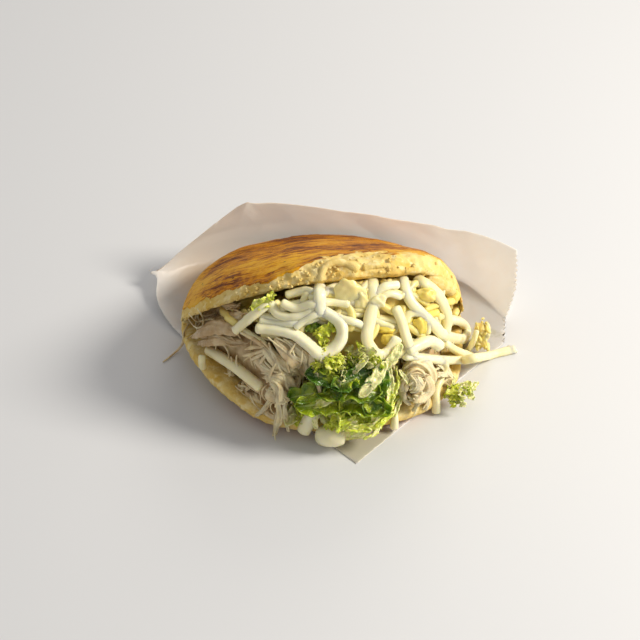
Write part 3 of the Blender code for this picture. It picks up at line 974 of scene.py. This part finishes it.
def chicken_material():
    r = Recipe("shredded_chicken")
    pale = r.blend(r.patches(0.008, 0.3, 0.7), MEAT_WHITE, MEAT_CREAM)
    brown = r.blend(r.patches(0.008, 0.35, 0.65), MEAT_TAN, MEAT_BROWN)
    browned = r.span(r.sum(r.value("tone"), r.patches(0.005, 0.3, 0.7, -0.2, 0.2, 4.0)), 0.25, 1.0)
    fibres = r.cloud(1.0, 4.0, 0.6, r.stretched((26, 3, 1), r.strand_places()))
    color = r.blend(r.span(fibres, 0.52, 0.72, 0.0, 0.35), r.blend(browned, pale, brown), MEAT_FIBRE)
    height = r.sum(r.times(fibres, 1.1), r.times(r.cloud(0.003, 3.0), 0.5))
    roughness = r.patches(0.003, 0.35, 0.65, 0.33, 0.6)
    r.soft_inside(0.3, 2.0 * MM, (1.0, 0.7, 0.4))
    return r.finish(color, roughness, r.bump(height, 0.5 * MM, 0.7))


def make_chicken(name, node, meat, wisps, count, brownest, painted_shade):
    """Torn fat shreds, thin fibres, and shreds laid at random over the core of the heap."""
    fat = Bundle(name, outline("torn meat", 30, lambda angle: fibre_shape(angle, 1.3)))
    thin = Bundle(name + "_fibres", outline("fibre", 6, round_shape))
    # The last argument raises the tone of the listed shreds, their fibres, the wisps and the thin shreds laid
    # at random: painted shade, browner on the shaded left side.
    along = []
    for path, radius, tone, lifts in meat:
        fat.add(draped(path, lifts), 0.92 * radius * MM, tone + painted_shade, chance.uniform(0.8, 2.2),
                blunt=0.8, taper=(0.5, 0.95, 1.1, 0.9, 0.45), wobble=0.22)
        for _ in range(FIBRES_PER_SHRED):
            spread = 0.45 * radius
            beside = [(a + chance.gauss(0, spread), u + chance.gauss(0, spread)) for a, u in path]
            line = draped(beside, [lift + 0.5 * radius + chance.uniform(-0.9, 0.5) for lift in lifts])
            thickness = chance.uniform(0.3, 0.75) * MM
            along.append((line, thickness, tone + painted_shade + chance.uniform(-0.25, 0.25)))
    tree = shell(node)
    for place, _ in random_on(node, open_side, count):
        heading, length = random_heading(), chance.uniform(9, 20) * MM
        line = walk(tree, place, heading, length, 0.25, chance.uniform(-2.0, -0.4) * MM)
        fat.add(line, chance.uniform(0.9, 2.1) * MM, chance.uniform(0.1, brownest), chance.uniform(1, 3),
                blunt=0.8, taper=(0.4, 1.0, 1.0, 0.4), wobble=0.25)
    for line, radius, tone in along:
        thin.add(line, radius, tone, taper=(0.5, 1.0, 1.0, 0.4), wobble=0.3)
    for path, radius, lifts in wisps:
        thin.add(draped(path, lifts, everything), radius * MM, 0.25 + painted_shade, taper=(0.45, 1.0, 1.0, 0.35),
                 wobble=0.2)
    for place, _ in random_on(node, open_side, 5 * count):
        heading, length = random_heading(), chance.uniform(5, 13) * MM
        line = walk(tree, place, heading, length, 0.3, chance.uniform(-0.3, 1.3) * MM)
        radius = chance.uniform(0.25, 0.6) * MM
        thin.add(line, radius, chance.uniform(-0.1, 0.6) + painted_shade, taper=(0.4, 1.0, 0.4), wobble=0.2)
    return join(name, [fat.mesh(), thin.mesh(), make_core(node, name + "_core", 3.4 * MM)])


# ---------------------------------------------------------------- lettuce


def leaf(name, length, width, waves, depth, thickness, seed, cuts):
    """A torn piece of leaf: flat along its rib, ruffled more and more towards its edges."""
    bpy.ops.object.select_all(action="DESELECT")
    bpy.ops.mesh.primitive_grid_add(x_subdivisions=cuts[0], y_subdivisions=cuts[1], size=2)
    item = bpy.context.object
    item.name = name
    rib = []
    for vert in item.data.vertices:
        along, side = vert.co.x, vert.co.y
        rib.append(1 - abs(side))
        torn = 1 + 0.22 * noise.noise(Vector((3.1 * along, seed, math.copysign(2, side))))
        torn += 0.12 * noise.noise(Vector((9 * along, seed, math.copysign(5, side))))
        half = 0.5 * width * (1 - abs(along) ** 3.2) ** 0.5 * torn
        phase = math.pi * waves * along + seed + (1.9 if side > 0 else 0.0)
        ruffle = abs(side) ** 1.5 * depth
        lift = ruffle * (math.sin(phase) + 0.55 * math.sin(2.3 * phase + 1.0) + 0.25 * math.sin(5.1 * phase))
        lift += 0.22 * width * side * side + 0.9 * MM * noise.noise(Vector((4 * along, 3 * side, seed)))
        sway = 0.45 * ruffle * math.cos(1.3 * phase)
        arch = 0.10 * length * (1 - along * along)
        drawn_in = 1 - 0.25 * abs(math.sin(phase)) * abs(side)
        vert.co = Vector((0.5 * length * along + sway, half * side * drawn_in, lift + arch))
    add_values(item, "rib", rib)
    add_values(item, "tone", [0.0] * len(rib))
    wall = item.modifiers.new("thickness", "SOLIDIFY")
    wall.thickness = thickness
    wall.offset = 0
    apply_modifiers(item)
    mend(item, 1e-7)
    item.data.shade_smooth()
    return item


def put_down(master, across, up, size, turn, lean, roll, lift, tone, tree=None):
    """A copy of a master piece on the filling; turn is in its own plane, lean and roll tip it."""
    place, normal = seen(across, up, tree)
    outward = (normal + 1.2 * TO_CAMERA).normalized()
    right = (Vector((1, 0, 0)) - outward * outward.x).normalized()
    upright = Matrix((right, outward.cross(right), outward)).transposed()
    spin = Euler((math.radians(lean), math.radians(roll), math.radians(turn)), "ZYX").to_matrix()
    item = bpy.data.objects.new(master.name, master.data.copy())
    bpy.context.scene.collection.objects.link(item)
    moved = Matrix.Translation(place + outward * lift * MM)
    item.data.transform(moved @ (upright @ spin).to_4x4() @ Matrix.Scale(size, 4))
    item.data.attributes["tone"].data.foreach_set("value", [tone] * len(item.data.vertices))
    return item


# Leaves laid one by one: kind, place on the board, size, turn, lean, roll, lift, tone (0 dark green, 1 pale)
FOLDED_LEAVES = [
    # broad and low in the middle, dark at the back and olive in front
    ("fold", 16, -15, 0.8, 20, -20, 0, 0.8, 0.06), ("fold", 4, -16, 0.75, -10, -20, 10, 0.8, 0.10),
    ("fold", 24, -19, 0.8, 70, 0, 20, 0.8, 0.10), ("fold", -2, -23, 0.8, 10, -25, 0, 0.8, 0.22),
    ("fold", 12, -22, 0.95, -4, -30, -6, 0.8, 0.20), ("fold", 21, -24, 0.8, -35, -10, -12, 0.8, 0.24),
    ("fold", 2, -27, 0.9, 6, -20, 5, 0.8, 0.36), ("fold", 16, -27, 0.85, -14, -15, -6, 0.8, 0.32),
    ("fold", 8, -29, 0.85, -2, -35, 0, 0.8, 0.38), ("fold", -9, -29, 0.7, 30, -10, 10, 0.8, 0.92),
    ("fold", -12, -32, 0.55, 60, -10, 10, 0.8, 0.98),
]
TUCKED_LEAVES = [
    # inside the loop of cheese, and under the lip
    ("frill", 1, 7, 0.62, 30, 10, 0, 0.5, 0.62), ("curl", 0, 3, 0.7, 100, 0, 20, 0.5, 0.7),
    ("curl", -4, 8, 0.6, 10, 0, 0, -0.5, 0.1), ("curl", -28, 19, 0.8, 10, 30, 0, 0.0, 0.75),
    ("curl", -24, 21, 0.6, 60, 20, 0, 0.0, 0.65), ("curl", 33, 31, 0.5, 0, 20, 0, 0.0, 0.2),
    # pale ribs
    ("rib", 23, -15, 0.95, 52, 0, 10, 4.5, 1.2), ("rib", 19, -9, 0.5, 48, 0, -10, 3.5, 1.1),
    ("rib", 32, -5, 0.7, 55, 0, -10, 3.0, 1.1), ("rib", 0, -26, 0.7, 20, 0, 0, 2.5, 0.85),
    ("rib", -11, -31, 0.7, 110, 0, 20, 2.0, 0.62), ("rib", -2, -33, 0.5, 95, 0, 0, 2.0, 0.95),
]
FRONT_LEAVES = [
    ("frill", 6, -33, 0.6, 70, 10, 10, 2.5, 0.66), ("curl", 5, -36, 0.65, 20, 0, 0, 1.5, 0.7),
    ("curl", -9, -35, 0.7, 30, 0, 0, 1.5, 0.62), ("curl", 26, -36, 0.6, 60, 0, 0, 1.0, 0.6),
]
SPRIG_LEAVES = [
    ("fold", 63, -22, 0.36, 20, -15, 10, 0.6, 0.7), ("fold", 66, -21, 0.30, 50, 10, -10, 0.8, 0.95),
]
# Shreds hanging at the right and over the front: place on the board, turn, tone
SHREDS = [
    (31, -16, 80, 0.85), (34, -20, 95, 0.8), (29, -24, 60, 0.75), (36, -14, 100, 0.9), (33, -27, 50, 0.8),
    (27, -31, 35, 0.78), (24, -34, 25, 0.82), (18, -36, 5, 0.8), (14, -37, -10, 0.75), (22, -38, 15, 0.7),
    (12, -34, 30, 0.6), (7, -31, 85, 0.75),
]


def tossed(master, across, up, sizes, tip, lifts, tones, paler=0.0, tree=None):
    """A leaf put down any way round, tipped by a chance angle of about tip degrees."""
    return put_down(master, across, up, chance.uniform(*sizes), chance.uniform(0, 360), chance.gauss(0, tip),
                    chance.gauss(0, tip), chance.uniform(*lifts), chance.uniform(*tones) + paler, tree)


def hung(master, across, up, sizes, turn, lift, tone):
    """A shred hanging off the heap, a little tipped."""
    return put_down(master, across, up, chance.uniform(*sizes), turn, chance.gauss(0, 15),
                    chance.gauss(0, 25), lift, tone)


def make_masters():
    return {
        "frill": leaf("frill", 16 * MM, 10 * MM, 3.2, 1.9 * MM, 0.35 * MM, 1.0, (28, 9)),
        "curl": leaf("curl", 12 * MM, 7 * MM, 2.6, 1.7 * MM, 0.35 * MM, 4.0, (24, 9)),
        "fold": leaf("fold", 31 * MM, 13 * MM, 2.3, 1.5 * MM, 0.4 * MM, 7.0, (40, 12)),
        "rib": leaf("rib", 20 * MM, 6.5 * MM, 0.8, 0.25 * MM, 0.9 * MM, 9.0, (28, 8)),
        "ribbon": leaf("ribbon", 15 * MM, 3.4 * MM, 1.6, 0.5 * MM, 0.7 * MM, 2.0, (24, 6)),
    }


def make_heap_leaves(masters):
    frill, curl, ribbon = masters["frill"], masters["curl"], masters["ribbon"]
    laid = [put_down(masters[kind], *place) for kind, *place in FOLDED_LEAVES]
    # dark frills at the back, bright curls above them, olive ones in front that turn paler to the left
    for i in range(26):
        across, up = chance.uniform(-3, 27), chance.uniform(-23, -9)
        laid.append(tossed(frill if i % 3 else curl, across, up, (0.35, 0.62), 42, (0.8, 3.0), (0.04, 0.3)))
    for i in range(46):
        across, up = chance.uniform(-3, 26), chance.triangular(-19, -1, -6)
        laid.append(tossed(frill if i % 2 else curl, across, up, (0.32, 0.66), 40, (0.8, 3.6), (0.5, 1.0)))
    for _ in range(18):
        across, up = chance.uniform(-13, 29), chance.uniform(-35, -25)
        paler = 0.4 * ease(5, -10, across)
        laid.append(tossed(curl, across, up, (0.4, 0.65), 35, (0.8, 1.8), (0.35, 0.6), paler))
    laid += [put_down(masters[kind], *place) for kind, *place in TUCKED_LEAVES]
    for across, up, turn, tone in SHREDS:
        laid.append(hung(ribbon, across, up, (0.8, 1.1), turn, 4.5, tone))
        beside = across + chance.gauss(0, 2)
        above = up + chance.gauss(0, 2)
        laid.append(hung(ribbon, beside, above, (0.5, 0.8), turn + 20, 5.0, tone + 0.15))
    laid += [put_down(masters[kind], *place) for kind, *place in FRONT_LEAVES]
    return join("lettuce_leaves", laid + [make_core("lettuce_heap", "lettuce_core", 3.0 * MM)])


def make_sprig(masters):
    curl, ribbon = masters["curl"], masters["ribbon"]
    laid = []
    for _ in range(22):
        across, up = chance.gauss(64, 2.8), chance.gauss(-22.5, 1.4)
        up += 0.3 * (across - 64)
        laid.append(tossed(curl, across, up, (0.42, 0.68), 35, (-2.5, 0.8), (0.5, 1.15), 0.0, everything))
    for _ in range(4):
        laid.append(put_down(ribbon, chance.uniform(60, 71), chance.uniform(-24, -18), 0.5,
                             chance.uniform(20, 70), 0.0, 0.0, 0.5, 0.95, everything))
    laid += [put_down(masters[kind], *place, everything) for kind, *place in SPRIG_LEAVES]
    return join("lettuce_sprig", laid)


def make_lettuce(finish):
    masters = make_masters()
    ready(make_heap_leaves(masters), finish, "lettuce_heap")
    ready(make_sprig(masters), finish, "lettuce_sprig_right")
    for master in masters.values():
        bpy.data.objects.remove(master, do_unlink=True)


def lettuce_material():
    r = Recipe("lettuce")
    shade = r.sum(r.value("tone"), r.patches(0.006, 0.3, 0.7, -0.14, 0.14))
    color = r.blend(r.span(shade, 0.0, 0.4), LEAF_DARK, LEAF_GREEN)
    color = r.blend(r.span(shade, 0.35, 0.75), color, LEAF_LIME)
    color = r.blend(r.span(shade, 0.7, 1.0), color, LEAF_PALE)
    veins = r.span(r.cells(0.0042, "DISTANCE_TO_EDGE"), 0.08, 0.0)
    color = r.blend(r.times(veins, 0.12), color, LEAF_VEIN)
    color = r.blend(r.times(r.span(r.value("rib"), 0.88, 1.0), 0.35), color, LEAF_RIB)
    height = r.sum(r.times(r.cloud(0.0022, 3.0), 0.8), r.times(veins, -0.5))
    r.soft_inside(0.35, 1.5 * MM, (0.6, 1.0, 0.2))
    return r.finish(color, r.patches(0.006, 0.3, 0.7, 0.24, 0.42), r.bump(height, 0.6 * MM, 0.8))


# ---------------------------------------------------------------- paper

PAPER_CREASES = [
    # two points of each crease, how deep it is, and how wide
    ((-84, 43, 10), (-10, 62, 16), 2.6, 11.0),
    ((-35, 52, 50), (-14, 62, 10), 1.8, 9.0),
    ((-66, 46, 22), (-30, 58, 30), 1.0, 8.0),
    ((4, 58, 44), (34, 64, 6), 1.2, 9.0),
    ((30, 58, 34), (60, 56, 18), 1.0, 7.0),
    ((58, 50, 32), (68, 44, 4), 1.4, 8.0),
    ((84, 30, 30), (62, 52, 8), 1.2, 8.0),
    ((30, -62, 0), (66, -22, 0), 0.5, 7.0),
]
INSIDE = Vector((5, 0, 60)) * MM
# Middle of each stain, and how far it is full and reaches
GREASE_SPOTS = [((72, 4, 8), 4 * MM, 20 * MM), ((20, -70, 0), 6 * MM, 26 * MM)]


def paper_material():
    r = Recipe("waxed_paper")
    color = r.blend(r.patches(0.02, 0.3, 0.7, detail=4.0, roughness=0.6), PAPER_WHITE, PAPER_CREAM)
    color = r.blend(r.patches(0.0035, 0.45, 0.8, 0.0, 0.3, 5.0, 0.65), color, PAPER_FIBRE)
    grease = r.span(r.sum(r.value("grease"), r.patches(0.012, 0.3, 0.7, -0.3, 0.3, 4.0)), 0.35, 0.75)
    color = r.blend(r.times(grease, 0.75), color, PAPER_GREASE)
    # painted reflected light: the crust's orange bounce on the back wall
    color = r.blend(r.value("painted_bounce"), color, PAPER_BOUNCE_LIGHT)
    height = r.sum(r.times(r.cells(0.013, "DISTANCE_TO_EDGE"), 0.5), r.cloud(0.02, 4.0, 0.6))
    roughness = r.patches(0.02, 0.3, 0.7, 0.30, 0.45, 4.0, 0.6)
    r.soft_inside(0.6, 5.0 * MM, (1.0, 0.85, 0.65))
    r.feed(r.shader.inputs["Alpha"], r.span(grease, 0, 1, 0.90, 0.74))
    return r.finish(color, roughness, r.bump(height, 0.5 * MM, 0.6))


def crease_height(point):
    """How far the creases and the paper's slack push it at a point, in millimetres."""
    height = 0.0
    for start, end, depth, width in PAPER_CREASES:
        a, b = Vector(start) * MM, Vector(end) * MM
        along = (point - a).dot(b - a) / (b - a).length_squared
        away = (point - a - (b - a) * along).length
        fade = ease(-0.15, 0.1, along) * ease(1.15, 0.9, along)
        height += depth * fade * max(0.0, 1 - away / (width * MM)) ** 1.3
    return height


def creased(p, n):
    """The sheet's place after creasing: the standing part bends, the part on the table stays nearly flat."""
    standing = crease_height(p) + 0.5 * rough(p, 22 * MM, 2) + 0.16 * rough(p, 7 * MM, 4)
    lying = 0.10 * (1 + rough(p, 9 * MM, 5))
    return p + n * MM * (standing * ease(0, 4 * MM, p.z) + lying * ease(4 * MM, 0, p.z) - 0.3)


def grease_at(place):
    """Stains beside the spilt cheese and under the front of the filling."""
    return max(ease(far, near, (place - Vector(middle) * MM).length) for middle, near, far in GREASE_SPOTS)


def painted_bounce_at(place):
    """Painted reflected light: an orange tint on the back wall where light bounced off the crust before it
    would fall.
    """
    between = ease(-80 * MM, -60 * MM, place.x) * ease(66 * MM, 20 * MM, place.x)
    return 0.8 * between * ease(30 * MM, 52 * MM, place.y)


def make_paper():
    """The inner faces of the CAD sheet, made finer, creased, and given the thickness of real paper."""
    paper = copy_of("paper_pocket", "paper")
    pick(paper)
    bpy.ops.object.mode_set(mode="EDIT")
    bpy.ops.mesh.select_mode(type="FACE")
    bpy.ops.mesh.select_all(action="DESELECT")
    bpy.ops.object.mode_set(mode="OBJECT")
    mesh = paper.data
    for face in mesh.polygons:
        edges = [(mesh.vertices[a].co - mesh.vertices[b].co).length for a, b in face.edge_keys]
        inner = face.normal.dot(INSIDE - face.center) > 0 and min(edges) > 0.6 * MM
        face.select = not inner
    bpy.ops.object.mode_set(mode="EDIT")
    bpy.ops.mesh.delete(type="FACE")
    bpy.ops.object.mode_set(mode="OBJECT")
    refine(paper, PAPER_FACES)
    soften = paper.modifiers.new("soften", "SMOOTH")
    soften.iterations = 2
    apply_modifiers(paper)
    notch_edge(paper)
    reshape(paper, creased)
    add_values(paper, "grease", [grease_at(vert.co) for vert in mesh.vertices])
    # painted reflected light from the crust, stored for the material
    add_values(paper, "painted_bounce", [painted_bounce_at(vert.co) for vert in mesh.vertices])
    sheet = paper.modifiers.new("sheet", "SOLIDIFY")
    sheet.thickness = PAPER_THICKNESS
    sheet.offset = 0
    apply_modifiers(paper)
    paper.data.shade_smooth()
    return paper


def refine(item, longest):
    """Halves every edge longer than the limit until none is left."""
    bm = bmesh.new()
    bm.from_mesh(item.data)
    while True:
        long = [edge for edge in bm.edges if edge.calc_length() > longest]
        if not long:
            break
        bmesh.ops.subdivide_edges(bm, edges=long, cuts=1)
        bmesh.ops.triangulate(bm, faces=bm.faces, quad_method="SHORT_EDGE")
    bm.to_mesh(item.data)
    bm.free()


def notch_edge(paper):
    """Cuts the small teeth of the roll's cutter into the right-hand edge."""
    bm = bmesh.new()
    bm.from_mesh(paper.data)
    rim = [v for v in bm.verts if v.is_boundary and v.co.x > 80 * MM and 1.5 * MM < v.co.y < 37 * MM]
    rim.sort(key=lambda v: v.co.y + v.co.z)
    for vert in rim[::2]:
        vert.co.x -= CUTTER_TOOTH
    bm.to_mesh(paper.data)
    bm.free()


# ---------------------------------------------------------------- small pieces of cheese

# The lump and the two drips before the rim: path on the board, stand-out, radius, tone, twist, blunt, taper,
# wobble
FRONT_CHEESE = [
    ([(-1.8, -41.6), (4.5, -42.4), (10.6, -41.8)], (3.2, 3.2), 4.7, 0.05, 0.3, 0.35, (0.92, 1.04, 0.9), 0.16),
    ([(-3, -31), (-6, -35), (-9, -41)], (1.5, 1.5), 3.0, 0.05, 0.4, 0.5, (0.9, 1.1, 1.0), 0.06),
    ([(34, -30), (34, -34), (33.5, -39)], (1.5, 1.0), 1.9, 0.1, 0.2, 0.5, (0.45, 0.8, 1.15), 0.06),
]


def lump(across, up, radius, squash, seed, tree, depth, detail, tone):
    """A soft lump resting on what lies there."""
    item = lump_of("lump", radius * MM, detail, 0.42, seed)
    place, _ = seen(across, up, tree)
    item.data.transform(Matrix.Translation(place + TO_CAMERA * depth * MM) @ Matrix.Diagonal((*squash, 1)))
    add_values(item, "tone", [tone] * len(item.data.vertices))
    return item


def make_front_cheese(profile):
    pieces = Bundle("cheese_front_lump", profile)
    for path, lifts, radius, tone, twist, blunt, taper, wobble in FRONT_CHEESE:
        pieces.add(draped(path, lifts, everything), radius * MM, tone, twist, blunt, taper, wobble)
    return pieces.mesh()


def make_spill(profile):
    """Shreds that fell between the cake and the paper."""
    spill = Bundle("cheese_spill", profile)
    tree = shell("cheese_spill_right")
    for place, _ in random_on("cheese_spill_right", lambda p, n: True, 24):
        heading, length = random_heading(), chance.uniform(4, 9) * MM
        line = walk(tree, place, heading, length, 0.3, chance.uniform(-3.4, -1.6) * MM)
        spill.add(line, chance.uniform(0.5, 1.2) * MM, chance.uniform(0.5, 1.1), taper=(0.6, 1.0, 0.5))
    body = make_core("cheese_spill_right", "spill_core", 3.2 * MM)
    return join("cheese_spill", [spill.mesh(), body])


# ---------------------------------------------------------------- stage

FLOOR_SIZE = 4.0
FLOOR_DEPTH = 0.2 * MM  # just below the table's height, so that it meets no piece
LAMP_DISTANCE = 1.2


def make_stage():
    bpy.ops.object.select_all(action="DESELECT")
    bpy.ops.mesh.primitive_plane_add(size=FLOOR_SIZE, location=(0, 0, -FLOOR_DEPTH))
    floor = bpy.context.object
    floor.name = "floor"
    bpy.ops.object.transform_apply(location=True, rotation=True, scale=True)
    floor.data.materials.append(Recipe("pale_floor").finish(FLOOR_GREY, 0.6))


def make_lamp(name, side, height, size, energy, color):
    """A round lamp that shines at the middle; side is its bearing from +X, both angles in degrees."""
    light = bpy.data.lights.new(name, "AREA")
    light.shape = "DISK"
    light.size = size
    light.energy = energy
    light.color = color
    lamp = bpy.data.objects.new(name, light)
    bpy.context.scene.collection.objects.link(lamp)
    side, height = math.radians(side), math.radians(height)
    toward = Vector((math.cos(side) * math.cos(height), math.sin(side) * math.cos(height), math.sin(height)))
    lamp.location = LAMP_DISTANCE * toward
    lamp.rotation_mode = "QUATERNION"
    lamp.rotation_quaternion = toward.to_track_quat("Z", "Y")


def make_sky():
    world = bpy.data.worlds.new("studio")
    world.use_nodes = True
    sky = world.node_tree.nodes["Background"]
    sky.inputs["Color"].default_value = (0.98, 0.98, 1.0, 1.0)
    sky.inputs["Strength"].default_value = 0.45
    bpy.context.scene.world = world


def make_camera():
    camera = bpy.data.objects.new("camera", bpy.data.cameras.new("camera"))
    bpy.context.scene.collection.objects.link(camera)
    camera.data.lens = LENS
    camera.data.sensor_width = SENSOR
    camera.data.clip_start = 0.05
    camera.location = CAMERA_PLACE
    camera.rotation_euler = (math.pi / 2 - TILT, 0, 0)
    bpy.context.scene.camera = camera
    bpy.context.scene.view_settings.view_transform = "Standard"


make_camera()
make_sky()
make_lamp("key", -9, 38, 0.42, 16, (1.0, 0.955, 0.88))
make_lamp("back", 75, 32, 0.6, 2.6, (1.0, 0.93, 0.82))
make_stage()
ready(make_bread(), bread_material(), "arepa_bread")
bar = outline("bar", 12, bar_shape)
rod = outline("rod", 12, round_shape)
cheese = cheese_material()
ready(make_cheese(bar), cheese, "cheese_heap")
ready(make_left_strand(rod), cheese, "cheese_strand_left")
ready(make_right_strand(rod), cheese, "cheese_strand_right")
meat = chicken_material()
# 0.28, the last argument, is painted shade: browner tones for the chicken on the shaded left side
left = make_chicken("chicken_shreds_left", "chicken_left", MEAT_LEFT, WISPS_LEFT, 34, 0.9, 0.28)
ready(left, meat, "chicken_left")
right = make_chicken("chicken_shreds_right", "chicken_right", MEAT_RIGHT, WISPS_RIGHT, 16, 0.6, 0.0)
ready(right, meat, "chicken_right")
make_lettuce(lettuce_material())
ready(make_paper(), paper_material(), "paper_pocket")
ready(make_front_cheese(rod), cheese, "cheese_lump_front")
ready(make_spill(rod), cheese, "cheese_spill_right")
for item in outlines:
    bpy.data.objects.remove(item, do_unlink=True)
